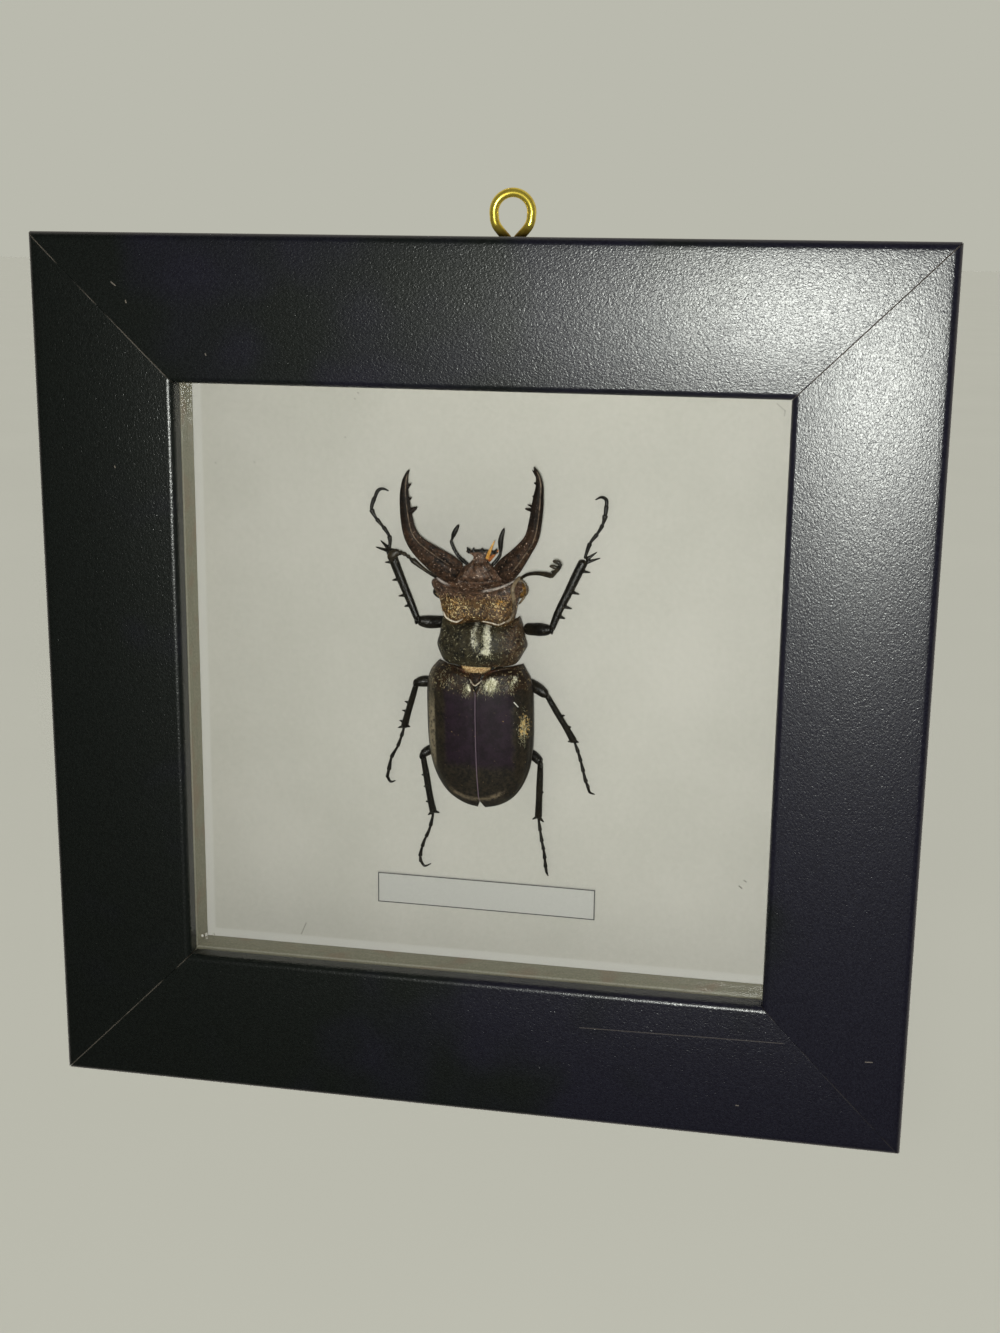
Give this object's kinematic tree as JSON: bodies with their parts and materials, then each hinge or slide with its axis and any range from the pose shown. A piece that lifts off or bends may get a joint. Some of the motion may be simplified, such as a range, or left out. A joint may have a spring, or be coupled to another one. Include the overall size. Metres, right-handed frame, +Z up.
{
  "type": "framed stag beetle specimen",
  "caption": "Dried stag beetle with spread legs on a pale board behind glass in a square black frame, hung by a brass eye in the top rail.",
  "frame": {"origin": "centre of the back panel's back face, which lies against the wall", "axes": "+Z up, the front faces -Y, +X to the right as seen from the front"},
  "size_m": [0.19, 0.027, 0.1999],
  "materials": {
    "frame_black": "satin black lacquer with a faint grain",
    "glass": "clear",
    "spacer_grey": "matt grey-green card",
    "board_paper": "matt white paper",
    "back_brown": "matt brown board",
    "brass": "bright",
    "label_paper": "matt, thin dark border",
    "beetle_black": "glossy natural shell, olive black",
    "beetle_brown": "pitted natural shell, red brown",
    "beetle_bronze": "natural shell with a bronze-green sheen",
    "beetle_wing": "smooth natural shell, purple brown"
  },
  "bodies": {
    "root": {"rail_top": "frame_black", "rail_bottom": "frame_black", "rail_left": "frame_black", "rail_right": "frame_black", "glass_pane": "glass", "spacer_top": "spacer_grey", "spacer_bottom": "spacer_grey", "spacer_left": "spacer_grey", "spacer_right": "spacer_grey", "mount_board": "board_paper", "back_panel": "back_brown", "hanging_screw_eye": "brass", "label": "label_paper", "hind_body": "beetle_black", "pronotum": "beetle_bronze", "head": "beetle_brown", "mandible_left": "beetle_brown", "mandible_right": "beetle_brown", "antenna_left": "beetle_black", "antenna_right": "beetle_black", "elytron_left": "beetle_wing", "elytron_right": "beetle_wing", "scutellum": "beetle_brown", "leg_front_left": "beetle_black", "leg_front_right": "beetle_black", "leg_middle_left": "beetle_black", "leg_middle_right": "beetle_black", "leg_hind_left": "beetle_black", "leg_hind_right": "beetle_black"}
  },
  "joints": []
}
